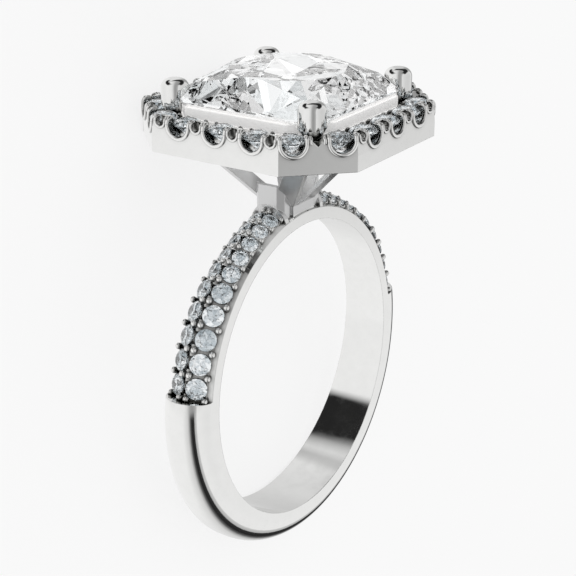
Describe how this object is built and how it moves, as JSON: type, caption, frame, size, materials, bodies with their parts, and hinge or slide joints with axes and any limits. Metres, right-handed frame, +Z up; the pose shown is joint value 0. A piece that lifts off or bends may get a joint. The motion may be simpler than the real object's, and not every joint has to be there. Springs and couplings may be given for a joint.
{
  "type": "halo ring",
  "caption": "Finger ring lying on its side: square stone held by claws in an octagonal halo of round stones, with stone rows on both shoulders.",
  "frame": {"origin": "middle of the finger hole, on its axis and in the ring's middle plane", "axes": "+Y towards the head, +Z up from the surface that the ring lies on, +X across the ring"},
  "size_m": [0.0204, 0.0268, 0.0132],
  "materials": {
    "metal": "mirror polished white precious metal",
    "centre_stone": "polished facets, clear",
    "small_stones": "polished facets, clear"
  },
  "bodies": {
    "root": {"metal": "metal", "centre_stone": "centre_stone", "halo_stone_01": "small_stones", "halo_stone_02": "small_stones", "halo_stone_03": "small_stones", "halo_stone_04": "small_stones", "halo_stone_05": "small_stones", "halo_stone_06": "small_stones", "halo_stone_07": "small_stones", "halo_stone_08": "small_stones", "halo_stone_09": "small_stones", "halo_stone_10": "small_stones", "halo_stone_11": "small_stones", "halo_stone_12": "small_stones", "halo_stone_13": "small_stones", "halo_stone_14": "small_stones", "halo_stone_15": "small_stones", "halo_stone_16": "small_stones", "halo_stone_17": "small_stones", "halo_stone_18": "small_stones", "halo_stone_19": "small_stones", "halo_stone_20": "small_stones", "shoulder_stones_left": "small_stones", "shoulder_stones_right": "small_stones"}
  },
  "joints": []
}
